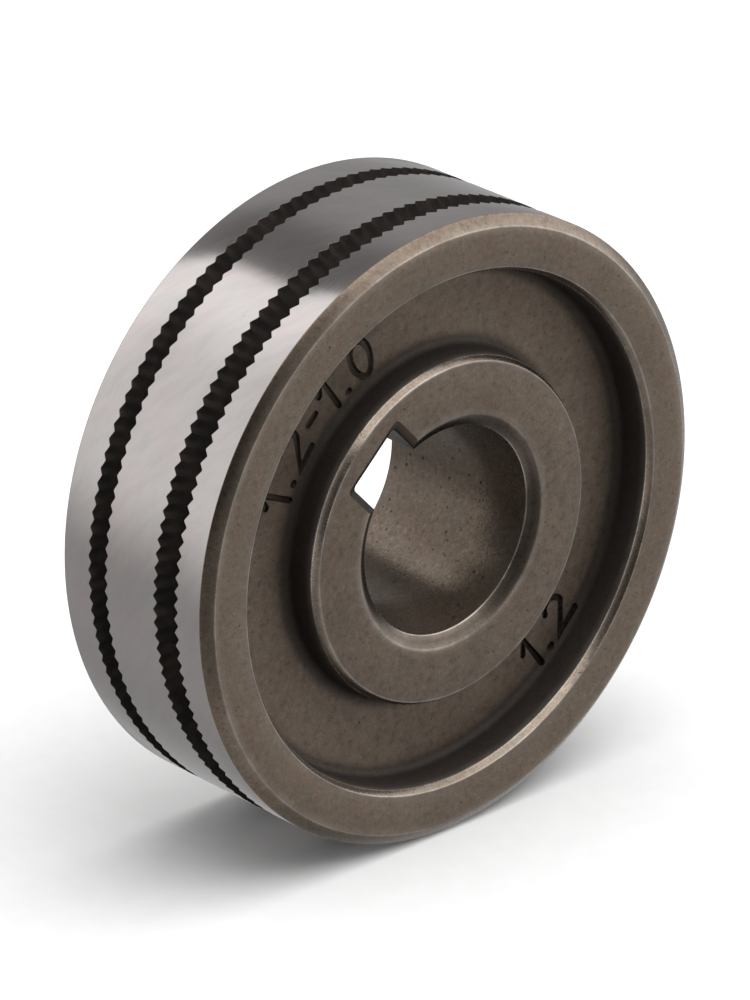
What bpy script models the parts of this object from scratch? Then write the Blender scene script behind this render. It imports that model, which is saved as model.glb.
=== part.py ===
"""Wire feed drive roller: 30 mm outside, 10 mm keyed bore, 10 mm wide, with two knurled V grooves.

The spin axis is the Y axis, and the origin is on it at mid-width. The marked face looks along -Y, and the
roller stands on its rim, so +Z is up. The solid is built ring by ring from the front of the bore, over the
hub, the web and the rim, across the ground rim with its two grooves, and back to the rear of the bore.
"""

from math import cos, radians, sin, tau

import bmesh
import bpy

MM = 0.001

# Driving dimensions, in millimetres.
OUTSIDE_RADIUS = 15.0
BORE_RADIUS = 5.0
WIDTH = 10.0

# Rim and hub.
RIM_CHAMFER_WIDTH = 0.4
RIM_CHAMFER_HEIGHT = 0.5
RIM_INNER_RADIUS = 12.45
HUB_OUTER_RADIUS = 8.25
HUB_SET_BACK = 0.1
EDGE_RADIUS = 0.3

# Web between them.
RECESS_DEPTH = 2.0
FILLET_RADIUS = 0.8
WALL_DRAFT = 0.15

# Bore and keyway.
BORE_CHAMFER_WIDTH = 0.4
BORE_CHAMFER_HEIGHT = 0.65
KEY_WIDTH = 3.4
KEY_FLOOR = 6.85
KEY_CHAMFER = 0.25
KEY_ANGLE = radians(133)

# Grooves: distance of each from mid-width, the V's size, and the knurl's teeth, how far their gaps reach
# into the rim, and the angle of one gap on the groove's front edge, from +X towards +Z.
GROOVE_OFFSET = 2.3
GROOVE_FLOOR_WIDTH = 0.2
FRONT_GROOVE = {
    "y": -GROOVE_OFFSET,
    "width": 1.4,
    "depth": 0.85,
    "teeth": 142,
    "gap": 0.15,
    "turn": radians(2.0),
}
REAR_GROOVE = {
    "y": GROOVE_OFFSET,
    "width": 1.1,
    "depth": 0.7,
    "teeth": 137,
    "gap": 0.11,
    "turn": radians(1.75),
}

# How finely round shapes are cut.
ROUND_STEPS = 96
ARC_STEPS = 3


def clear_scene():
    for item in list(bpy.data.objects):
        bpy.data.objects.remove(item, do_unlink=True)


def ring(radius, y, count=ROUND_STEPS, turn=0.0):
    """One turned ring: a list of (angle, radius, y)."""
    return [(turn + tau * i / count, radius, y) for i in range(count)]


def knurled_ring(groove, side):
    """A groove's edge on the ground rim, zigzagging outwards at each tooth gap.

    side is -1 for the edge nearer the front and 1 for the other. The knurl runs askew, so the gaps of one
    edge lie half a pitch on from those of the other.
    """
    pitch = tau / groove["teeth"]
    turn = groove["turn"] + (pitch / 2 if side > 0 else 0.0)
    points = []
    for i in range(2 * groove["teeth"]):
        reach = groove["width"] / 2 + (groove["gap"] if i % 2 == 0 else -groove["gap"])
        points.append((turn + i * pitch / 2, OUTSIDE_RADIUS, groove["y"] + side * reach))
    return points


def groove_rings(groove):
    """The four rings of one V groove, front to rear."""
    bottom = OUTSIDE_RADIUS - groove["depth"]
    half_floor = GROOVE_FLOOR_WIDTH / 2
    return [
        knurled_ring(groove, -1),
        ring(bottom, groove["y"] - half_floor),
        ring(bottom, groove["y"] + half_floor),
        knurled_ring(groove, 1),
    ]


def arc(centre_radius, centre_y, size, start, end):
    """Points (radius, y) of an arc from angle start to angle end, in degrees.

    At 0 degrees a point lies further from the axis than the centre, and at 90 degrees nearer the front.
    """
    points = []
    for i in range(ARC_STEPS + 1):
        angle = radians(start + (end - start) * i / ARC_STEPS)
        points.append((centre_radius + size * cos(angle), centre_y - size * sin(angle)))
    return points


def face_profile():
    """The front face as (radius, y), from the bore out to the ground rim."""
    front = -WIDTH / 2
    hub = front + HUB_SET_BACK
    web = front + RECESS_DEPTH
    hub_foot = HUB_OUTER_RADIUS + WALL_DRAFT
    rim_foot = RIM_INNER_RADIUS - WALL_DRAFT
    profile = [
        (BORE_RADIUS, hub + BORE_CHAMFER_WIDTH),
        (BORE_RADIUS + BORE_CHAMFER_HEIGHT, hub),
    ]
    profile += arc(HUB_OUTER_RADIUS - EDGE_RADIUS, hub + EDGE_RADIUS, EDGE_RADIUS, 90, 0)
    profile += arc(hub_foot + FILLET_RADIUS, web - FILLET_RADIUS, FILLET_RADIUS, 180, 270)
    profile += arc(rim_foot - FILLET_RADIUS, web - FILLET_RADIUS, FILLET_RADIUS, 270, 360)
    profile += arc(RIM_INNER_RADIUS + EDGE_RADIUS, front + EDGE_RADIUS, EDGE_RADIUS, 180, 90)
    profile += [
        (OUTSIDE_RADIUS - RIM_CHAMFER_HEIGHT, front),
        (OUTSIDE_RADIUS, front + RIM_CHAMFER_WIDTH),
    ]
    return profile


def all_rings():
    """Every ring of the blank, from the front of the bore round to its rear."""
    face = face_profile()
    rings = [ring(radius, y) for radius, y in face]
    rings += groove_rings(FRONT_GROOVE)
    rings += groove_rings(REAR_GROOVE)
    rings += [ring(radius, -y) for radius, y in reversed(face)]
    return rings


def add_ring(mesh, points):
    """Adds a ring's vertices, and returns (angle, vertex) pairs in order of angle from 0 to a full turn."""
    pairs = []
    for angle, radius, y in points:
        place = (radius * cos(angle) * MM, y * MM, radius * sin(angle) * MM)
        pairs.append((angle % tau, mesh.verts.new(place)))
    return sorted(pairs, key=lambda pair: pair[0])


def stitch(mesh, near, far):
    """Fills the band between two rings with triangles, whatever their counts of vertices.

    near is the ring passed first on the way from the front of the bore outwards, so the faces look out.
    """
    i = j = 0
    while i < len(near) or j < len(far):
        next_near = near[(i + 1) % len(near)][0] + (tau if i + 1 >= len(near) else 0)
        next_far = far[(j + 1) % len(far)][0] + (tau if j + 1 >= len(far) else 0)
        a, b = near[i % len(near)][1], far[j % len(far)][1]
        if j >= len(far) or (i < len(near) and next_near <= next_far):
            mesh.faces.new((a, near[(i + 1) % len(near)][1], b))
            i += 1
        else:
            mesh.faces.new((a, far[(j + 1) % len(far)][1], b))
            j += 1


def turned_blank():
    """The roller without its keyway."""
    mesh = bmesh.new()
    rings = [add_ring(mesh, points) for points in all_rings()]
    for i, near in enumerate(rings):
        stitch(mesh, near, rings[(i + 1) % len(rings)])
    bmesh.ops.recalc_face_normals(mesh, faces=mesh.faces)
    data = bpy.data.meshes.new("feed_roller")
    mesh.to_mesh(data)
    mesh.free()
    blank = bpy.data.objects.new("feed_roller", data)
    bpy.context.scene.collection.objects.link(blank)
    return blank


def key_outline(grow, y):
    """The keyway's corners at one y, grown on its three walls, as points in metres."""
    half = KEY_WIDTH / 2 + grow
    floor = KEY_FLOOR + grow
    corners = [(0.0, -half), (floor, -half), (floor, half), (0.0, half)]
    along, across = (cos(KEY_ANGLE), sin(KEY_ANGLE)), (-sin(KEY_ANGLE), cos(KEY_ANGLE))
    points = []
    for out, side in corners:
        x = out * along[0] + side * across[0]
        z = out * along[1] + side * across[1]
        points.append((x * MM, y * MM, z * MM))
    return points


def keyway_cutter():
    """A bar through the bore with the keyway's section, flared at both ends for its chamfers."""
    hub = WIDTH / 2 - HUB_SET_BACK
    sections = [(2 * KEY_CHAMFER, hub + KEY_CHAMFER), (0.0, hub - KEY_CHAMFER)]
    mesh = bmesh.new()
    loops = []
    for grow, y in [(g, -y) for g, y in sections] + sections[::-1]:
        loops.append([mesh.verts.new(point) for point in key_outline(grow, y)])
    for near, far in zip(loops, loops[1:]):
        for i in range(4):
            mesh.faces.new((near[i], near[(i + 1) % 4], far[(i + 1) % 4], far[i]))
    mesh.faces.new(loops[0][::-1])
    mesh.faces.new(loops[-1])
    bmesh.ops.recalc_face_normals(mesh, faces=mesh.faces)
    data = bpy.data.meshes.new("keyway_cutter")
    mesh.to_mesh(data)
    mesh.free()
    cutter = bpy.data.objects.new("keyway_cutter", data)
    bpy.context.scene.collection.objects.link(cutter)
    cutter.hide_render = True
    cutter.display_type = "WIRE"
    return cutter


def cut_keyway(roller):
    cut = roller.modifiers.new("keyway", "BOOLEAN")
    cut.operation = "DIFFERENCE"
    cut.solver = "EXACT"
    cut.object = keyway_cutter()


def sintered_steel():
    """Brown-grey oxidised steel, as it comes from the sintering furnace."""
    material = bpy.data.materials.new("sintered_steel")
    material.use_nodes = True
    shader = material.node_tree.nodes["Principled BSDF"]
    shader.inputs["Base Color"].default_value = (0.16, 0.135, 0.115, 1.0)
    shader.inputs["Metallic"].default_value = 0.9
    shader.inputs["Roughness"].default_value = 0.5
    return material


def main():
    clear_scene()
    roller = turned_blank()
    roller.data.materials.append(sintered_steel())
    roller.data.shade_smooth()
    roller.data.set_sharp_from_angle(angle=radians(30))
    cut_keyway(roller)


main()
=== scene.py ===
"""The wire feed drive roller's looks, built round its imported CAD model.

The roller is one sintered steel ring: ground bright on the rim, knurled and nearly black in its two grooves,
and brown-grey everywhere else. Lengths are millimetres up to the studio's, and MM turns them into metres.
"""

from math import asin, cos, pi, radians, sin, tan, tau

import bmesh
import bpy
import numpy as np
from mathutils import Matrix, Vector


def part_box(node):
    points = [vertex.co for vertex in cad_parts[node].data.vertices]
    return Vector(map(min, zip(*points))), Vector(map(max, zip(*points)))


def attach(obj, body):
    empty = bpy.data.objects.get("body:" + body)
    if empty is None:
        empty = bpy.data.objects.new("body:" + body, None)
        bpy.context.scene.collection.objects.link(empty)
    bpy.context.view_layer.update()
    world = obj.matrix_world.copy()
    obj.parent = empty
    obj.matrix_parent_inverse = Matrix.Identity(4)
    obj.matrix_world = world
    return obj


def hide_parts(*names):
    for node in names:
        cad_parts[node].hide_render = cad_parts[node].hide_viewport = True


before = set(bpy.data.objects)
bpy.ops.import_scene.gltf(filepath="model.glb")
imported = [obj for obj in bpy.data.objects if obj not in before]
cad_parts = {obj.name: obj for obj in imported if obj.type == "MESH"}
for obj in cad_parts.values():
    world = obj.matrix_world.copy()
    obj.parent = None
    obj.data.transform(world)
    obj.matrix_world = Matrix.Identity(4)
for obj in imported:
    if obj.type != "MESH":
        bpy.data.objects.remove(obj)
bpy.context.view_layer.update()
MM = 0.001

# Driving sizes, from the frame.
NODE = "feed_roller"
LOW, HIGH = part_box(NODE)
OUTSIDE_RADIUS = HIGH.z / MM
FRONT = LOW.y / MM
HALF_WIDTH = HIGH.y / MM

# The face. A chamfer is (across, deep), and the rounding of an edge is (radius, steps).
BORE_RADIUS = 5.0
BORE_CHAMFER = (0.6, 0.4)
REAR_BORE_CHAMFER = (0.2, 0.1)
HUB_RADIUS = 8.12
HUB_SET_BACK = 0.2
RIM_INNER_RADIUS = 12.57
RECESS_DEPTH = 2.0
RECESS_CHAMFER = (0.2, 0.32)
WALL_DRAFT = 0.1
RIM_CHAMFER = (0.52, 0.4)
FACE_EDGE = (0.05, 2)
WALL_EDGE = (0.09, 4)
FILLET = (0.35, 7)
RIM_EDGE = (0.12, 2)
GROUND_EDGE = (0.06, 2)

# Where the recess's two walls start below their chamfers, and where they meet the web.
HUB_WALL = HUB_RADIUS + RECESS_CHAMFER[0]
HUB_FOOT = HUB_WALL + WALL_DRAFT
RIM_WALL = RIM_INNER_RADIUS - RECESS_CHAMFER[0]
RIM_FOOT = RIM_WALL - WALL_DRAFT

# Distances of the hub face and the web from the middle of the width.
HUB_FACE = HALF_WIDTH - HUB_SET_BACK
WEB_FACE = HALF_WIDTH - RECESS_DEPTH

# Keyway. Its cutter grows towards the hub face and past it, which leaves a wide shallow bevel at the mouth.
# The flare is (distance past the hub face, growth of each wall).
KEY_WIDTH = 3.3
KEY_FLOOR = 6.8
KEY_CORNER = 0.25
KEY_CORNER_STEPS = 4
KEY_ANGLE = radians(133)
KEY_FLARE = [(0.5, 1.3), (0.02, 0.4), (-0.04, 0.3), (-0.1, 0.16), (-0.17, 0.05), (-0.25, 0.0)]

# Grooves: the mean V, the triangular wave of its edges, and the angle of one gap on the front edge. The tips
# would be points at a sharpness of 1, and FLOOR_WAVE is how much of the wave is left on the groove's floor.
GROOVE_OFFSET = 2.3
GROOVE_FLOOR = 0.2
FRONT_GROOVE = {
    "y": -GROOVE_OFFSET,
    "width": 1.4,
    "depth": 0.85,
    "teeth": 142,
    "wave": 0.12,
    "turn": radians(2.0),
}
REAR_GROOVE = {
    "y": GROOVE_OFFSET,
    "width": 1.1,
    "depth": 0.7,
    "teeth": 137,
    "wave": 0.09,
    "turn": radians(1.75),
}
TOOTH_SHARPNESS = 0.97
FLOOR_WAVE = 0.2
BURR_WIDTH = 0.022
BURR_DROP = 0.012

# Stamped sizes on the web: text, middle angle, radius of the foot, height, stroke width, depth, and whether
# the tops point outwards.
SIZE_MARK = ("1.2", radians(314.0), 12.02, 1.92, 0.36, 0.16, False)
FAINT_MARK = ("1.2-1.0", radians(135), 8.95, 2.0, 0.36, 0.12, True)
LETTER_GAP = 0.3

# A stroke's cutter: how many millimetres it stands out of the web; its half widths at that end, at the web
# and at its bottom, in stroke widths; and the sections that round off its ends, as (stroke widths on, share
# of the width). At a sharp bend it grows no wider than its width divided by MITRE_LIMIT.
STROKE_CLEARANCE = 1.2
STROKE_HALF_WIDTHS = (0.62, 0.5, 0.28)
STROKE_ENDS = [(0.25, 0.85), (0.45, 0.35)]
MITRE_LIMIT = 0.45

# How finely the mesh is cut, and how sharp an edge stays unsmoothed.
ROUND_STEPS = 480
TOOTH_STEPS = 8
FLANK_STEPS = 4
SHARP_ANGLE = radians(24)

# Zones of the surface, each with its own material, in the order of the mesh's material slots.
BODY, BORE, TURNED, KEYWAY, GROUND, GROOVE, BURR, DEEP_MARK, FAINT = range(9)

# A band of the face line is a turned chamfer between these slopes, and this near the hub face or nearer.
CHAMFER_SLOPES = (0.3, 3.0)
CHAMFER_REACH = 0.55


# ---------------------------------------------------------------- shape


def rounded(points):
    """Rounds a polyline of (radius, y, rounding, steps) and returns plain (radius, y) points."""
    line = [points[0][:2]]
    for before, corner, after in zip(points, points[1:], points[2:]):
        here, size, steps = Vector(corner[:2]), corner[2], corner[3]
        inward = (here - Vector(before[:2])).normalized()
        outward = (Vector(after[:2]) - here).normalized()
        turn = inward.angle_signed(outward)
        reach = size * tan(abs(turn) / 2)
        start = here - inward * reach
        side = Vector((-inward.y, inward.x)) * (-1 if turn > 0 else 1)
        centre = start + side * size
        arm = start - centre
        for i in range(steps + 1):
            c, s = cos(-turn * i / steps), sin(-turn * i / steps)
            line.append((centre.x + arm.x * c - arm.y * s, centre.y + arm.x * s + arm.y * c))
    line.append(points[-1][:2])
    return line


def face_line(bore_chamfer):
    """One face from the bore's middle to the ground rim, as (radius, y) points with y as on the front."""
    across, deep = bore_chamfer
    hub = FRONT + HUB_SET_BACK
    web = FRONT + RECESS_DEPTH
    corners = [
        (BORE_RADIUS, 0.0, 0, 0),
        (BORE_RADIUS, hub + deep, deep / 5, 2),
        (BORE_RADIUS + across, hub, deep * 1.5, 5),
        (HUB_RADIUS, hub, *FACE_EDGE),
        (HUB_WALL, hub + RECESS_CHAMFER[1], *WALL_EDGE),
        (HUB_FOOT, web, *FILLET),
        (RIM_FOOT, web, *FILLET),
        (RIM_WALL, FRONT + RECESS_CHAMFER[1], *WALL_EDGE),
        (RIM_INNER_RADIUS, FRONT, *FACE_EDGE),
        (OUTSIDE_RADIUS - RIM_CHAMFER[0], FRONT, *RIM_EDGE),
        (OUTSIDE_RADIUS, FRONT + RIM_CHAMFER[1], *GROUND_EDGE),
        (OUTSIDE_RADIUS, -GROOVE_OFFSET, 0, 0),
    ]
    return rounded(corners)[:-1]


def plain_ring(radius, y):
    """A round ring, as the angles, radii and y of its stations."""
    angles = tau * np.arange(ROUND_STEPS) / ROUND_STEPS
    return angles, np.full(ROUND_STEPS, radius), np.full(ROUND_STEPS, y)


def wave(stations):
    """A triangular wave with slightly rounded tips, 1 at the first station of each tooth."""
    return np.arcsin(TOOTH_SHARPNESS * np.cos(tau * stations / TOOTH_STEPS)) / asin(TOOTH_SHARPNESS)


def groove_rings(groove):
    """The rings across one knurled V groove, front to rear, with the zone of the band after each."""
    count = groove["teeth"] * TOOTH_STEPS
    stations = np.arange(count)
    teeth = groove["wave"] * wave(stations)
    reach = groove["width"] / 2 + teeth
    foot = OUTSIDE_RADIUS - groove["depth"] - FLOOR_WAVE * teeth
    top = OUTSIDE_RADIUS - BURR_DROP
    pitch = tau / groove["teeth"]
    flank = [i / FLANK_STEPS for i in range(FLANK_STEPS + 1)]

    def ring(across, radius):
        """The knurl runs askew: the gaps of the rear edge lie half a pitch on from those of the front."""
        share = 0.5 + across / groove["width"]
        angles = groove["turn"] + tau * stations / count + share * pitch / 2
        return angles, radius + 0.0 * stations, groove["y"] + across

    rings = [(ring(-reach - BURR_WIDTH, OUTSIDE_RADIUS), BURR)]
    for side, parts in ((-1, flank), (1, flank[::-1])):
        for part in parts:
            out = groove["width"] / 2 * (1 - part) + teeth * (1 - part) ** 2 + GROOVE_FLOOR / 2 * part
            rings.append((ring(side * out, top * (1 - part) + foot * part), GROOVE))
    rings[-1] = (rings[-1][0], BURR)
    rings.append((ring(reach + BURR_WIDTH, OUTSIDE_RADIUS), GROUND))
    return rings


def zone_after(radius, y, far_radius, far_y):
    """The zone of the band between two points of the face line: TURNED on its chamfers, BODY elsewhere."""
    slope = abs(far_y - y) / max(abs(far_radius - radius), 1e-6)
    deep = max(y, far_y) > FRONT + HUB_SET_BACK + CHAMFER_REACH
    return TURNED if CHAMFER_SLOPES[0] < slope < CHAMFER_SLOPES[1] and not deep else BODY


def all_rings():
    """Every ring of the blank with the zone of the band after it, round the section and back."""
    face, rear = face_line(BORE_CHAMFER), face_line(REAR_BORE_CHAMFER)
    zones = [zone_after(*near, *far) for near, far in zip(face[1:], face[2:])] + [GROUND]
    rings = [(plain_ring(radius, y), zone) for (radius, y), zone in zip(face[1:], zones)]
    rings += groove_rings(FRONT_GROOVE)
    rings += groove_rings(REAR_GROOVE)
    mirrored = zip(reversed(rear[1:]), [*reversed(zones[:-1]), BORE])
    rings += [(plain_ring(radius, -y), zone) for (radius, y), zone in mirrored]
    return rings


def quads(near, far):
    """Faces between two rings with the same stations."""
    following = np.roll(near, -1), np.roll(far, -1)
    return np.stack([near, following[0], following[1], far], axis=1).tolist()


def stitched(near, near_angles, far, far_angles):
    """Triangles between two rings with different stations, walked in order of angle."""
    near_order = np.argsort(near_angles % tau)
    far_order = np.argsort(far_angles % tau)
    near, near_angles = near[near_order].tolist(), np.sort(near_angles % tau).tolist()
    far, far_angles = far[far_order].tolist(), np.sort(far_angles % tau).tolist()
    near_angles.append(near_angles[0] + tau)
    far_angles.append(far_angles[0] + tau)
    near.append(near[0])
    far.append(far[0])
    faces = []
    i = j = 0
    while i < len(near) - 1 or j < len(far) - 1:
        if j == len(far) - 1 or (i < len(near) - 1 and near_angles[i + 1] <= far_angles[j + 1]):
            faces.append([near[i], near[i + 1], far[j]])
            i += 1
        else:
            faces.append([near[i], far[j + 1], far[j]])
            j += 1
    return faces


def turned_blank():
    """The roller without keyway and stamped sizes."""
    rings = all_rings()
    points, indices, start = [], [], 0
    for (angles, radius, y), _ in rings:
        points.append(np.stack([radius * np.cos(angles), y, radius * np.sin(angles)], axis=1))
        indices.append(np.arange(start, start + len(angles)))
        start += len(angles)
    faces, zones = [], []
    for i, ((angles, _, _), zone) in enumerate(rings):
        k = (i + 1) % len(rings)
        far_angles = rings[k][0][0]
        if len(angles) == len(far_angles):
            band = quads(indices[i], indices[k])
        else:
            band = stitched(indices[i], angles, indices[k], far_angles)
        faces += band
        zones += [zone] * len(band)
    return zoned_mesh("feed_roller_body", np.concatenate(points), faces, zones)


def zoned_mesh(name, points, faces, zones):
    """A mesh of points in millimetres, with outward normals and a zone for each face."""
    mesh = bpy.data.meshes.new(name)
    mesh.from_pydata((np.asarray(points) * MM).tolist(), [], faces)
    mesh.polygons.foreach_set("material_index", zones)
    turner = bmesh.new()
    turner.from_mesh(mesh)
    bmesh.ops.recalc_face_normals(turner, faces=turner.faces)
    turner.to_mesh(mesh)
    turner.free()
    return mesh


def sweep(sections, zone):
    """A closed solid through loops of points in millimetres: (points, faces, zones)."""
    count = len(sections[0])
    faces = []
    for k in range(len(sections) - 1):
        for i in range(count):
            n = (i + 1) % count
            faces.append([k * count + i, k * count + n, (k + 1) * count + n, (k + 1) * count + i])
    last = (len(sections) - 1) * count
    faces.append(list(range(count))[::-1])
    faces.append([last + i for i in range(count)])
    return [p for section in sections for p in section], faces, [zone] * len(faces)


def key_outline(grow, y):
    """The keyway's section with rounded floor corners, grown on its walls, at one y."""
    half, floor = KEY_WIDTH / 2 + grow, KEY_FLOOR + grow
    outline = [(0.0, -half)]
    for side, first in ((-1, -90), (1, 0)):
        for i in range(KEY_CORNER_STEPS + 1):
            angle = radians(first + 90 * i / KEY_CORNER_STEPS)
            out = floor - KEY_CORNER + KEY_CORNER * cos(angle)
            across = side * (half - KEY_CORNER) + KEY_CORNER * sin(angle)
            outline.append((out, across))
    outline.append((0.0, half))
    c, s = cos(KEY_ANGLE), sin(KEY_ANGLE)
    return [(out * c - across * s, y, out * s + across * c) for out, across in outline]


def keyway_cutter():
    """A bar through the bore, flared at both ends for the bevel of the keyway's mouth."""
    ends = [(-(HUB_FACE + out), grow) for out, grow in KEY_FLARE]
    sections = ends + [(-y, grow) for y, grow in reversed(ends)]
    return sweep([key_outline(grow, y) for y, grow in sections], KEYWAY)


def bow(centre, size, start, end, steps):
    """Points of an ellipse arc, angles in degrees."""
    points = []
    for i in range(steps + 1):
        angle = radians(start + (end - start) * i / steps)
        points.append((centre[0] + size[0] * cos(angle), centre[1] + size[1] * sin(angle)))
    return points


def glyph(character):
    """(stroke, width) of a character one unit high. A stroke is a list of points, closed if its ends meet."""
    if character == "1":
        return [(0.0, 0.66), (0.26, 0.98), (0.26, 0.0)], 0.3
    if character == "2":
        hook = bow((0.37, 0.71), (0.29, 0.28), 160, -25, 9)
        return hook + [(0.02, 0.02), (0.67, 0.02)], 0.68
    if character == "0":
        return bow((0.29, 0.5), (0.28, 0.49), 0, 360, 20), 0.58
    if character == "-":
        return [(0.03, 0.45), (0.33, 0.45)], 0.36
    return [(0.05, 0.05), (0.1, 0.05)], 0.15


def stroke_rails(path, closed):
    """Each point of a stroke with its sideways direction, longer at bends to keep the stroke's width."""
    rails = []
    for i, here in enumerate(path):
        before = path[i - 1] if closed or i > 0 else None
        after = path[(i + 1) % len(path)] if closed or i < len(path) - 1 else None
        one = (here - before).normalized() if before is not None else (after - here).normalized()
        two = (after - here).normalized() if after is not None else one
        normal = Vector((-one.y - two.y, one.x + two.x)).normalized()
        stretch = 1 / max(MITRE_LIMIT, normal.dot(Vector((-one.y, one.x))))
        rails.append((here, normal * stretch))
    return rails


def lengthened(rails, path, stroke):
    """Rounds both ends of an open stroke by adding narrower sections past each."""
    (start, start_normal), (end, end_normal) = rails[0], rails[-1]
    back = (path[0] - path[1]).normalized() * stroke
    on = (path[-1] - path[-2]).normalized() * stroke
    head = [(start + back * far, start_normal * wide) for far, wide in reversed(STROKE_ENDS)]
    tail = [(end + on * far, end_normal * wide) for far, wide in STROKE_ENDS]
    return head + rails + tail


def stroke_cutter(path, stroke, depth, place, zone):
    """A groove cutter along one stroke, narrower at its bottom."""
    path = [Vector(p) for p in path]
    closed = (path[0] - path[-1]).length < 1e-6
    if closed:
        path = path[:-1]
    rails = stroke_rails(path, closed)
    if not closed:
        rails = lengthened(rails, path, stroke)
    web = FRONT + RECESS_DEPTH
    levels = list(zip((web - STROKE_CLEARANCE, web, web + depth), STROKE_HALF_WIDTHS))
    sections = []
    for here, normal in rails:
        loop = []
        for side, order in ((-1, levels), (1, levels[::-1])):
            for y, share in order:
                across = here + normal * (side * share * stroke)
                loop.append(place(across.x, across.y, y))
        sections.append(loop)
    points, faces, zones = sweep(sections, zone)
    if closed:
        count = len(sections[0])
        last = (len(sections) - 1) * count
        faces = faces[:-2]
        faces += [[last + i, last + (i + 1) % count, (i + 1) % count, i] for i in range(count)]
        zones = [zone] * len(faces)
    return points, faces, zones


def mark_cutters(mark, zone):
    """Cutters for one stamped text, bent round the axis."""
    text, middle, foot, height, stroke, depth, outwards = mark
    up = 1 if outwards else -1
    total = sum(glyph(c)[1] for c in text) + LETTER_GAP * (len(text) - 1)

    def place(x, y, level):
        """x and y are millimetres along and above the text's foot."""
        angle = middle - up * (x - total * height / 2) / (foot + up * height / 2)
        radius = foot + up * y
        return (radius * cos(angle), level, radius * sin(angle))

    solids, left = [], 0.0
    for character in text:
        line, width = glyph(character)
        moved = [((x + left) * height, y * height) for x, y in line]
        solids.append(stroke_cutter(moved, stroke, depth, place, zone))
        left += width + LETTER_GAP
    return solids


def joined_cutters():
    """The keyway and the stamped sizes as one mesh of separate closed solids."""
    points, faces, zones = [], [], []
    for solid in [keyway_cutter(), *mark_cutters(SIZE_MARK, DEEP_MARK), *mark_cutters(FAINT_MARK, FAINT)]:
        shift = len(points)
        points += solid[0]
        faces += [[shift + i for i in face] for face in solid[1]]
        zones += solid[2]
    return zoned_mesh("cutters", points, faces, zones)


def cut(body, cutters):
    """body less cutters, as one applied mesh."""
    tool = bpy.data.objects.new("cutters", cutters)
    bpy.context.scene.collection.objects.link(tool)
    boolean = body.modifiers.new("cut", "BOOLEAN")
    boolean.operation = "DIFFERENCE"
    boolean.solver = "EXACT"
    boolean.object = tool
    graph = bpy.context.evaluated_depsgraph_get()
    mesh = bpy.data.meshes.new_from_object(body.evaluated_get(graph), depsgraph=graph)
    body.modifiers.clear()
    body.data = mesh
    bpy.data.objects.remove(tool)


def roller(materials):
    """The whole visible roller."""
    blank = turned_blank()
    cutters = joined_cutters()
    for material in materials:
        blank.materials.append(material)
        cutters.materials.append(material)
    body = bpy.data.objects.new("feed_roller_body", blank)
    bpy.context.scene.collection.objects.link(body)
    cut(body, cutters)
    body.data.shade_smooth()
    body.data.set_sharp_from_angle(angle=SHARP_ANGLE)
    return body


# ---------------------------------------------------------------- materials


class Graph:
    """Builds a node tree, one node a line."""

    def __init__(self, tree):
        self.tree = tree
        tree.nodes.clear()

    def feed(self, socket, value):
        """Links value to the socket, or sets it where value is plain."""
        if isinstance(value, bpy.types.NodeSocket):
            self.tree.links.new(value, socket)
        else:
            socket.default_value = value

    def add(self, kind, inputs=None, **settings):
        node = self.tree.nodes.new(kind)
        for name, value in settings.items():
            setattr(node, name, value)
        for key, value in (inputs or {}).items():
            self.feed(node.inputs[key], value)
        return node

    def math(self, operation, a, b=0.0, c=0.0):
        return self.add("ShaderNodeMath", {0: a, 1: b, 2: c}, operation=operation).outputs[0]

    def times(self, a, b):
        return self.math("MULTIPLY", a, b)

    def highest(self, *values):
        top = values[0]
        for value in values[1:]:
            top = self.math("MAXIMUM", top, value)
        return top

    def ramp(self, value, low, high, out_low=0.0, out_high=1.0):
        """value from low..high to out_low..out_high, smoothly and clamped."""
        inputs = {"Value": value, "From Min": low, "From Max": high, "To Min": out_low, "To Max": out_high}
        return self.add("ShaderNodeMapRange", inputs, interpolation_type="SMOOTHSTEP").outputs[0]

    def mix(self, share, a, b):
        """The colour a, and b where share is 1."""
        node = self.add("ShaderNodeMix", data_type="RGBA")
        colours = {s.name: s for s in node.inputs if s.type == "RGBA"}
        factor = next(s for s in node.inputs if s.name == "Factor" and s.type == "VALUE")
        self.feed(factor, share)
        self.feed(colours["A"], a)
        self.feed(colours["B"], b)
        return next(s for s in node.outputs if s.type == "RGBA")

    def layered(self, colour, *layers):
        """colour under layers of (noise, start, full, most, over): over's share is most at full noise."""
        for noise, start, full, most, over in layers:
            colour = self.mix(self.ramp(noise, start, full, 0.0, most), colour, over)
        return colour

    def place(self, scale=(1.0, 1.0, 1.0)):
        """The point in millimetres, times scale."""
        point = self.add("ShaderNodeTexCoord").outputs["Object"]
        inputs = {"Vector": point, "Scale": tuple(s / MM for s in scale)}
        return self.add("ShaderNodeMapping", inputs).outputs[0]

    def split(self, vector):
        return self.add("ShaderNodeSeparateXYZ", {0: vector}).outputs

    def noise(self, scale, detail=2.0, roughness=0.5, vector=None):
        if vector is None:
            vector = self.place()
        inputs = {"Vector": vector, "Scale": scale, "Detail": detail, "Roughness": roughness}
        return self.add("ShaderNodeTexNoise", inputs).outputs["Fac"]

    def bump(self, height, strength, distance):
        """A normal for the relief height, which is distance millimetres high at full strength."""
        inputs = {"Strength": strength, "Distance": distance * MM, "Height": height}
        return self.add("ShaderNodeBump", inputs).outputs[0]


def material(name):
    made = bpy.data.materials.new(name)
    made.use_nodes = True
    return made, Graph(made.node_tree)


def finish(graph, inputs):
    """Ends a material in one Principled shader."""
    shader = graph.add("ShaderNodeBsdfPrincipled", inputs)
    graph.add("ShaderNodeOutputMaterial", {"Surface": shader.outputs[0]})


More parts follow.
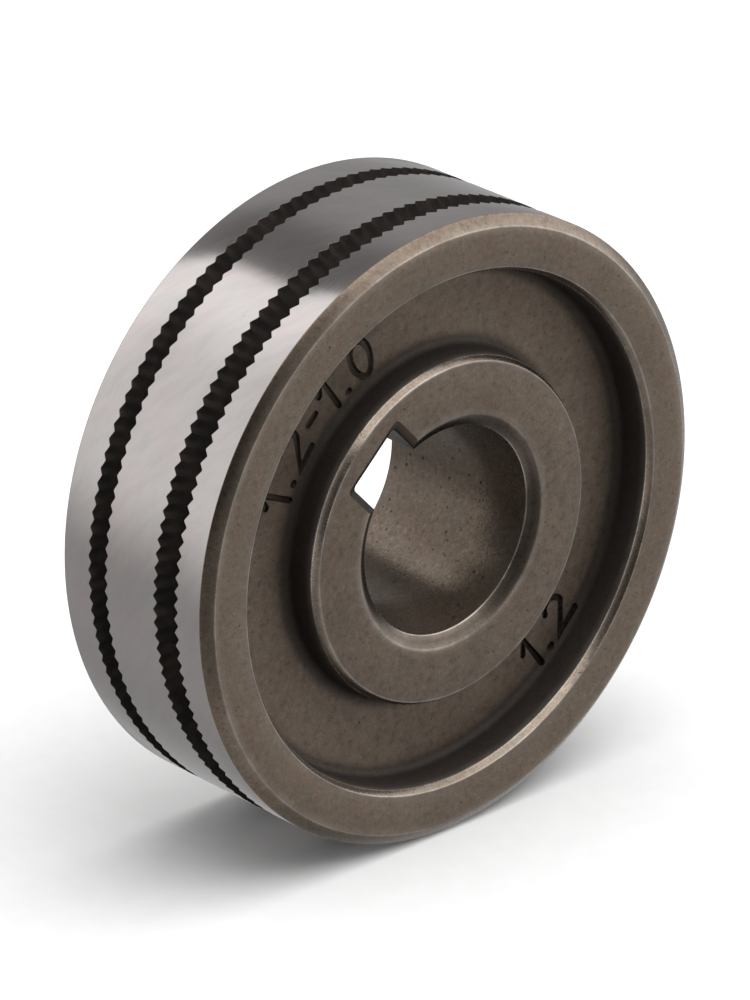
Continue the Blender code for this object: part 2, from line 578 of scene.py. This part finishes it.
def grey(value, tint=(1.0, 1.0, 1.0)):
    """A colour of one lightness, with tint as the share of red, green and blue."""
    return (value * tint[0], value * tint[1], value * tint[2], 1.0)


# Rubbed steel for the edges, which also stands in for a painted highlight along them.
RUBBED_AND_HIGHLIT_STEEL = grey(0.5, (1.0, 0.91, 0.82))


def squared_radius(graph, x, z):
    return graph.math("MULTIPLY_ADD", x, x, graph.times(z, z))


def ring_distance(graph, radius, y, flatness=1.0):
    """Millimetres from a circle round the axis, on both faces alike; along the axis, times flatness."""
    point = graph.split(graph.place())
    out = graph.math("SUBTRACT", graph.math("SQRT", squared_radius(graph, point[0], point[2])), radius)
    along = graph.math("SUBTRACT", graph.math("ABSOLUTE", point[1]), y)
    along = graph.times(along, flatness)
    return graph.math("SQRT", graph.math("MULTIPLY_ADD", out, out, graph.times(along, along)))


def inside(graph, radius):
    """1 nearer the axis than radius, 0 outside it."""
    x, _, z = graph.split(graph.place())
    return graph.math("LESS_THAN", squared_radius(graph, x, z), radius * radius)


def worn_and_highlit_edges(graph):
    """How bright each edge is, partly rubbed by handling and partly a painted highlight: a sharp band on the
    edge and a wide faint one beside it.
    """
    # Radius and distance from mid-width of each edge, how far its sharp band reaches, and how bright that is.
    edges = [
        (HUB_RADIUS, HUB_FACE, 0.14, 0.4),
        (HUB_WALL, HUB_FACE - RECESS_CHAMFER[1], 0.08, 0.7),
        (RIM_INNER_RADIUS, HALF_WIDTH, 0.1, 0.42),
        (RIM_WALL, HALF_WIDTH - RECESS_CHAMFER[1], 0.08, 0.6),
        (OUTSIDE_RADIUS - RIM_CHAMFER[0], HALF_WIDTH, 0.12, 0.35),
        (BORE_RADIUS + BORE_CHAMFER[0], HUB_FACE, 0.14, 0.32),
        (BORE_RADIUS, HUB_FACE - BORE_CHAMFER[1], 0.09, 0.75),
    ]
    beside_reach, beside_most = 0.45, 0.11
    worn_and_highlit = 0.0
    for radius, y, reach, most in edges:
        away = ring_distance(graph, radius, y)
        sharp = graph.ramp(away, 0.0, reach, most, 0.0)
        beside = graph.ramp(away, 0.0, beside_reach, beside_most, 0.0)
        worn_and_highlit = graph.highest(sharp, beside, worn_and_highlit)
    patchy = graph.ramp(graph.noise(0.9, 3.0), 0.35, 0.65, 0.55, 1.0)
    return graph.times(worn_and_highlit, patchy)


def corner_painted_shade(graph):
    """Painted shade: 1 in the recess's two corners, fading to 0 out on the web."""
    start, flatness = 0.05, 0.13
    by_hub = graph.ramp(ring_distance(graph, HUB_FOOT, WEB_FACE, flatness), start, 0.8, 1.0, 0.0)
    by_rim = graph.ramp(ring_distance(graph, RIM_FOOT, WEB_FACE, flatness), start, 0.75, 1.0, 0.0)
    patchy = graph.ramp(graph.noise(0.7, 4.0, 0.6), 0.3, 0.6, 0.94, 1.0)
    return graph.times(graph.highest(by_hub, by_rim), patchy)


def stamp_stain(graph):
    """1 in the smudge round the faint sizes on the front web, 0 elsewhere."""
    _, middle, foot, height, _, _, _ = FAINT_MARK
    x, y, z = graph.split(graph.place())
    centre = foot + height / 2
    across = graph.ramp(ring_distance(graph, centre, WEB_FACE, 0.3), 0.6, 1.5, 1.0, 0.0)
    along = graph.math("MULTIPLY_ADD", x, cos(middle), graph.times(z, sin(middle)))
    gone, full = radians(26), radians(19)
    along = graph.ramp(along, centre * cos(gone), centre * cos(full))
    patchy = graph.ramp(graph.noise(1.3, 4.0, 0.6), 0.3, 0.6, 0.6, 1.0)
    stain = graph.times(graph.times(across, along), patchy)
    return graph.times(stain, graph.math("LESS_THAN", y, 0.0))


def pores(graph, per_mm, size, share):
    """1 inside scattered round pores, which only a share of the cells hold."""
    voronoi = graph.add("ShaderNodeTexVoronoi", {"Vector": graph.place(), "Scale": per_mm})
    holes = graph.ramp(voronoi.outputs["Distance"], size * 0.6, size, 1.0, 0.0)
    pick = graph.add("ShaderNodeSeparateColor", {0: voronoi.outputs["Color"]}).outputs[0]
    return graph.times(holes, graph.math("LESS_THAN", pick, share))


def skewed(graph, scale):
    """The point times scale, turned about the axis as it moves along it, so that its noise runs askew."""
    y = graph.split(graph.place())[1]
    inputs = {"Vector": graph.place(scale), "Angle": graph.math("DIVIDE", y, OUTSIDE_RADIUS)}
    return graph.add("ShaderNodeVectorRotate", inputs, rotation_type="Y_AXIS").outputs[0]


def sintered_look(graph, lightness, relief=1.0):
    """Colour, roughness and normal of brown-grey pressed and sintered steel, its colour times lightness."""

    def shade(value, tint):
        return grey(value * lightness, tint)

    clouds = graph.noise(0.55, 4.0, 0.6)
    patches = graph.noise(0.8, 3.0, 0.6)
    mottle = graph.noise(3.2, 4.0, 0.75)
    grain = graph.noise(11.0, 2.0, 0.7)
    holes = graph.highest(pores(graph, 0.9, 0.07, 0.4), pores(graph, 2.6, 0.16, 0.12))
    reddish = shade(0.147, (1.0, 0.73, 0.565))
    olive = shade(0.137, (1.0, 0.83, 0.635))
    colour = graph.layered(
        reddish,
        (patches, 0.38, 0.62, 1.0, olive),
        (clouds, 0.3, 0.7, 0.8, shade(0.168, (1.0, 0.78, 0.6))),
        (mottle, 0.5, 0.72, 0.75, shade(0.08, (1.0, 0.76, 0.6))),
        (mottle, 0.5, 0.3, 0.55, shade(0.212, (1.0, 0.83, 0.66))),
        (grain, 0.45, 0.75, 0.5, shade(0.078, (1.0, 0.78, 0.62))),
    )
    colour = graph.mix(graph.times(holes, 0.7), colour, grey(0.02))
    rough = graph.ramp(grain, 0.3, 0.7, 0.36, 0.48)
    height = graph.math("SUBTRACT", graph.times(grain, 0.5), graph.times(holes, 1.2))
    height = graph.math("ADD", height, graph.times(mottle, 0.6))
    return colour, rough, graph.bump(height, 0.4 * relief, 0.03)


def sintered_body():
    """Pressed and sintered steel: cloudy, finely grained, with a few open pores, edges worn bright and
    painted with highlights, and painted shade in the recess's corners.
    """
    made, graph = material("sintered_body")
    colour, rough, bump = sintered_look(graph, 0.82)
    recessed = graph.mix(0.1, colour, grey(0.0))
    colour = graph.mix(inside(graph, RIM_INNER_RADIUS), colour, recessed)
    colour = graph.mix(graph.times(stamp_stain(graph), 0.3), colour, grey(0.02, (1.0, 0.82, 0.72)))
    # Painted shade in the recess's corners, darkened nearly to black; the same mask also makes them rougher.
    corner_shade = corner_painted_shade(graph)
    colour = graph.mix(graph.times(corner_shade, 0.9), colour, grey(0.024, (1.0, 0.85, 0.78)))
    # Edges worn bright, and partly a painted highlight along them.
    worn_and_highlit = worn_and_highlit_edges(graph)
    colour = graph.mix(worn_and_highlit, colour, RUBBED_AND_HIGHLIT_STEEL)
    rough = graph.math("SUBTRACT", rough, graph.times(worn_and_highlit, 0.14))
    rough = graph.math("MULTIPLY_ADD", corner_shade, 0.2, rough)
    inputs = {
        "Base Color": colour,
        "Metallic": 0.72,
        "Roughness": rough,
        "Specular IOR Level": 0.1,
        "Normal": bump,
    }
    finish(graph, inputs)
    return made


def sized_bore():
    """The bore's wall: the sintered steel sized smooth, with bright flecks and open pits."""
    made, graph = material("sized_bore")
    colour, rough, bump = sintered_look(graph, 0.62)
    flecks = graph.noise(4.5, 4.0, 0.75)
    colour = graph.layered(colour, (flecks, 0.52, 0.72, 0.4, grey(0.2, (1.0, 0.83, 0.66))))
    pits = graph.highest(pores(graph, 1.3, 0.13, 0.6), pores(graph, 3.5, 0.22, 0.2))
    colour = graph.mix(graph.times(pits, 0.85), colour, grey(0.012))
    inputs = {
        "Base Color": colour,
        "Metallic": 0.75,
        "Roughness": graph.times(rough, 0.5),
        "Specular IOR Level": 0.1,
        "Normal": bump,
    }
    finish(graph, inputs)
    return made


def turned_chamfers():
    """The chamfers, turned smoother than the faces, with edges worn bright and painted with highlights; the
    bore's is duller.
    """
    made, graph = material("turned_chamfers")
    colour, rough, bump = sintered_look(graph, 0.92, 0.4)
    duller = graph.mix(0.5, colour, grey(0.0))
    colour = graph.mix(inside(graph, BORE_RADIUS + BORE_CHAMFER[0] + 0.1), colour, duller)
    # Edges worn bright, and partly a painted highlight along them.
    colour = graph.mix(worn_and_highlit_edges(graph), colour, RUBBED_AND_HIGHLIT_STEEL)
    inputs = {
        "Base Color": colour,
        "Metallic": 0.97,
        "Roughness": graph.times(rough, 0.6),
        "Specular IOR Level": 0.2,
        "Normal": bump,
    }
    finish(graph, inputs)
    return made


def keyway_painted_shading():
    """The keyway's walls and mouth, darkened all over as painted shade, with painted light making one side
    lighter and browner.
    """
    made, graph = material("keyway_painted_shading")
    # Painted shade: the keyway's steel at under a tenth of the body's lightness.
    colour, rough, bump = sintered_look(graph, 0.09, 0.6)
    x, _, z = graph.split(graph.place())
    across = graph.math("MULTIPLY_ADD", x, sin(KEY_ANGLE), graph.times(z, -cos(KEY_ANGLE)))
    # Painted light: one side of the keyway lighter and browner.
    colour = graph.layered(colour, (across, 1.4, 2.1, 0.8, grey(0.085, (1.0, 0.76, 0.58))))
    finish(graph, {"Base Color": colour, "Metallic": 0.9, "Roughness": rough, "Normal": bump})
    return made


def ground_rim():
    """Bare steel, ground round the axis, so its highlights spread across the rim; faintly streaked."""
    made, graph = material("ground_rim")
    lines = graph.noise(1.0, 3.0, 0.6, vector=graph.place((0.35, 24.0, 0.35)))
    streaks = graph.noise(1.0, 3.0, 0.55, vector=skewed(graph, (1.3, 0.85, 1.3)))
    colour = graph.layered(
        grey(0.3, (1.0, 0.955, 0.93)),
        (lines, 0.3, 0.7, 1.0, grey(0.32, (1.0, 0.955, 0.93))),
        (graph.noise(0.5, 3.0), 0.35, 0.65, 0.7, grey(0.322, (1.0, 0.89, 0.87))),
        (streaks, 0.42, 0.7, 0.4, grey(0.352, (1.0, 0.91, 0.89))),
        (streaks, 0.5, 0.28, 0.32, grey(0.272, (1.0, 0.96, 0.935))),
    )
    specks = pores(graph, 1.1, 0.045, 0.35)
    colour = graph.mix(graph.times(specks, 0.6), colour, grey(0.08))
    tangent = graph.add("ShaderNodeTangent", direction_type="RADIAL", axis="Y")
    inputs = {
        "Base Color": colour,
        "Metallic": 1.0,
        "Roughness": graph.ramp(lines, 0.3, 0.7, 0.15, 0.19),
        "Anisotropic": 0.5,
        "Anisotropic Rotation": 0.25,
        "Tangent": tangent.outputs[0],
        "Normal": graph.bump(lines, 0.04, 0.01),
    }
    finish(graph, inputs)
    return made


def near_black_groove():
    """Near-black in the knurled grooves, browner in patches."""
    made, graph = material("near_black_groove")
    grain = graph.noise(14.0, 3.0, 0.7)
    colour = graph.layered(
        grey(0.012, (1.0, 0.87, 0.8)),
        (graph.noise(1.1, 3.0), 0.4, 0.7, 1.0, grey(0.02, (1.0, 0.8, 0.7))),
        (grain, 0.45, 0.75, 0.5, grey(0.005)),
    )
    inputs = {
        "Base Color": colour,
        "Metallic": 0.3,
        "Roughness": 0.8,
        "Specular IOR Level": 0.05,
        "Specular Tint": grey(0.12, (1.0, 0.9, 0.85)),
        "Normal": graph.bump(grain, 0.4, 0.03),
    }
    finish(graph, inputs)
    return made


def tooth_burr():
    """The thin lip that knurling throws up along each groove."""
    made, graph = material("tooth_burr")
    bright = grey(0.12, (1.0, 0.96, 0.93))
    colour = graph.layered(grey(0.06, (1.0, 0.95, 0.9)), (graph.noise(3.0, 3.0), 0.35, 0.65, 1.0, bright))
    finish(graph, {"Base Color": colour, "Metallic": 1.0, "Roughness": 0.35})
    return made


def near_black_strokes():
    """The deeper stamped strokes, nearly black, browner in a fine grain."""
    made, graph = material("near_black_strokes")
    browner = grey(0.035, (1.0, 0.78, 0.68))
    grain = graph.noise(6.0, 3.0, 0.7)
    colour = graph.layered(grey(0.012, (1.0, 0.8, 0.72)), (grain, 0.35, 0.65, 1.0, browner))
    finish(graph, {"Base Color": colour, "Metallic": 0.8, "Roughness": 0.5})
    return made


def faint_mark():
    """The shallower stamped strokes: the sintered steel, darkened."""
    made, graph = material("faint_mark")
    colour, rough, bump = sintered_look(graph, 0.3)
    finish(graph, {"Base Color": colour, "Metallic": 0.9, "Roughness": rough, "Normal": bump})
    return made


def floor_paper():
    """Plain pale paper."""
    made, graph = material("floor_paper")
    colour = graph.layered(grey(0.43), (graph.noise(0.8, 3.0), 0.3, 0.7, 1.0, grey(0.44)))
    finish(graph, {"Base Color": colour, "Roughness": 0.9, "Specular IOR Level": 0.0})
    return made


# ---------------------------------------------------------------- studio

# Lengths are metres from here on, but the camera's are millimetres. A direction is (azimuth, elevation) in
# degrees, as towards() takes them.
FLOOR_RADIUS = 4.0
PAPER_LIGHT_TOWARDS = (150, 80)
PAPER_LIGHT_SIZE = 1.5
PAPER_LIGHT_DISTANCE = 1.2
PAPER_LIGHT_BRIGHTNESS = 3.6
CAMERA_TOWARDS = (-137.55, 24.2)
CAMERA_AIM = (-2.25, -2.08, 1.41)
CAMERA_DISTANCE = 316.5
CAMERA_LENS = 252.0

# The studio's soft areas of light and shade: azimuth and elevation, the angles from there at which the area
# is full and gone, and its radiance. They are laid over each other in this order, on SURROUND.
SURROUND = 0.66
AREAS = [
    (137, -24, 24, 50, 0.82),
    (47, 10, 18, 44, 0.48),
    (36, 37, 10, 30, 0.6),
    (20, -44, 14, 40, 0.52),
    (8, 48, 6, 24, 0.3),
    (-93, 0, 14, 34, 1.6),
    (120, 28, 28, 48, 2.5),
    (152, 66, 14, 26, 3.2),
    (-155, -2, 28, 48, 0.33),
    (-126, 25, 22, 38, 0.07),
    (-150, -66, 10, 30, 0.85),
    (125, -64, 8, 26, 0.4),
    (-140, 62, 8, 20, 4.2),
]

# The wall at the back left: its radiances near its edge and away from it.
WALL_RADIANCES = (2.3, 1.6)


def floor():
    """A wide round sheet of paper under the rim, which the steel doesn't reflect."""
    sheet = bmesh.new()
    bmesh.ops.create_circle(sheet, cap_ends=True, segments=96, radius=FLOOR_RADIUS)
    data = bpy.data.meshes.new("floor")
    sheet.to_mesh(data)
    sheet.free()
    data.materials.append(floor_paper())
    made = bpy.data.objects.new("floor", data)
    made.location = (0.0, 0.0, LOW.z)
    made.visible_glossy = False
    bpy.context.scene.collection.objects.link(made)


def towards(azimuth, elevation):
    """Unit vector: azimuth 0 is +Y and 90 is +X, elevation is above the horizon, in degrees."""
    a, e = radians(azimuth), radians(elevation)
    return Vector((sin(a) * cos(e), cos(a) * cos(e), sin(e)))


def paper_light():
    """An evenly bright panel above the roller, which the steel doesn't mirror."""
    lamp = bpy.data.lights.new("paper_light", "AREA")
    lamp.shape = "RECTANGLE"
    lamp.size = lamp.size_y = PAPER_LIGHT_SIZE
    lamp.energy = PAPER_LIGHT_BRIGHTNESS * pi * PAPER_LIGHT_SIZE**2
    made = bpy.data.objects.new("paper_light", lamp)
    away = towards(*PAPER_LIGHT_TOWARDS)
    made.location = away * PAPER_LIGHT_DISTANCE
    made.rotation_euler = away.to_track_quat("Z", "Y").to_euler()
    made.visible_glossy = False
    bpy.context.scene.collection.objects.link(made)


def studio_world():
    """Soft areas of light and shade, and over them a pale wall at the back left with a hard upright edge."""
    world = bpy.data.worlds.new("studio")
    world.use_nodes = True
    graph = Graph(world.node_tree)
    direction = graph.add("ShaderNodeTexCoord").outputs["Generated"]
    x, y, z = graph.split(direction)
    colour = grey(SURROUND)
    for azimuth, elevation, full, gone, radiance in AREAS:
        aim = towards(azimuth, elevation)
        facing = graph.add("ShaderNodeVectorMath", {0: direction, 1: aim}, operation="DOT_PRODUCT")
        share = graph.ramp(facing.outputs["Value"], cos(radians(gone)), cos(radians(full)))
        colour = graph.mix(share, colour, grey(radiance))
    # The wall's borders, by parts of the direction.
    edge = graph.ramp(x, 0.03, -0.01)
    foot = graph.ramp(z, -0.38, 0.1)
    near_end = graph.ramp(y, -0.5, -0.1)
    wall = graph.times(edge, graph.times(foot, near_end))
    wall_colour = graph.mix(graph.ramp(x, -0.15, -0.5), *[grey(radiance) for radiance in WALL_RADIANCES])
    colour = graph.mix(wall, colour, wall_colour)
    background = graph.add("ShaderNodeBackground", {"Color": colour, "Strength": 1.0})
    graph.add("ShaderNodeOutputWorld", {"Surface": background.outputs[0]})
    bpy.context.scene.world = world


def camera():
    """The view from the front left, a little above."""
    lens = bpy.data.cameras.new("camera")
    lens.lens = CAMERA_LENS
    lens.sensor_width = 36.0
    lens.clip_start, lens.clip_end = 0.01, 20.0
    made = bpy.data.objects.new("camera", lens)
    away = towards(*CAMERA_TOWARDS)
    made.location = Vector(CAMERA_AIM) * MM + away * CAMERA_DISTANCE * MM
    made.rotation_euler = away.to_track_quat("Z", "Y").to_euler()
    bpy.context.scene.collection.objects.link(made)
    bpy.context.scene.camera = made


def main():
    bpy.context.scene.view_settings.view_transform = "Standard"
    camera()
    studio_world()
    paper_light()
    floor()
    # In the order of the zones.
    materials = [
        sintered_body(),
        sized_bore(),
        turned_chamfers(),
        keyway_painted_shading(),
        ground_rim(),
        near_black_groove(),
        tooth_burr(),
        near_black_strokes(),
        faint_mark(),
    ]
    body = roller(materials)
    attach(body, "root")
    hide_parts(NODE)


main()
